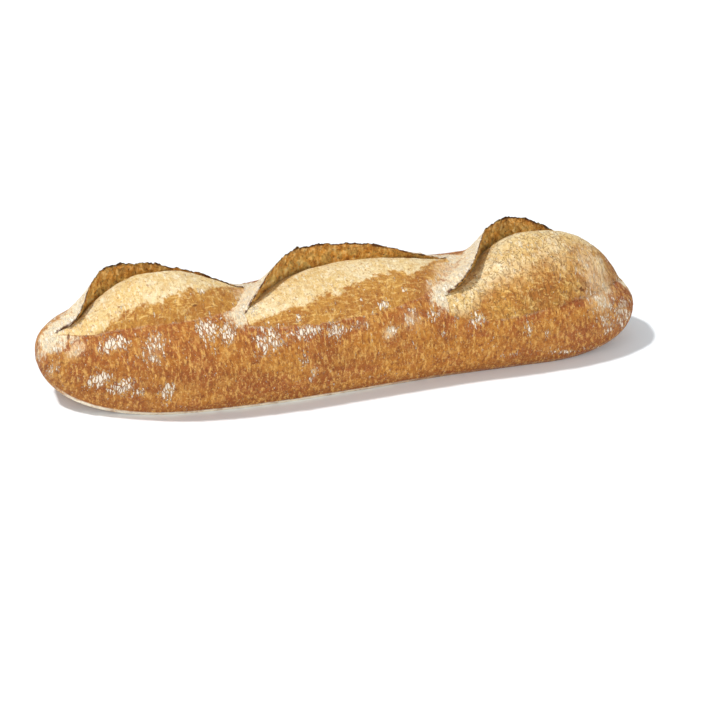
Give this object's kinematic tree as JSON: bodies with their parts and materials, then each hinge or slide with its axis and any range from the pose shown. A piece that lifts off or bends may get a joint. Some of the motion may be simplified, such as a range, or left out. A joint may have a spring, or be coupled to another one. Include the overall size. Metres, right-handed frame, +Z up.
{
  "type": "baguette",
  "caption": "Whole rustic baguette with a flat underside and slanting scores, each opened into a smooth bloom with a raised, torn ear along its rear edge.",
  "frame": {"origin": "on the table under the middle of the loaf, at the centre of its bounding box seen from above", "axes": "+X along the loaf towards the end whose bloom is tallest, +Z up, -Y towards the side on which the blooms meet the crust; the ears stand along the +Y side"},
  "size_m": [0.378, 0.0926, 0.0739],
  "materials": {
    "crust": "dry, baked and floured"
  },
  "bodies": {
    "root": {"loaf": "crust"}
  },
  "joints": []
}
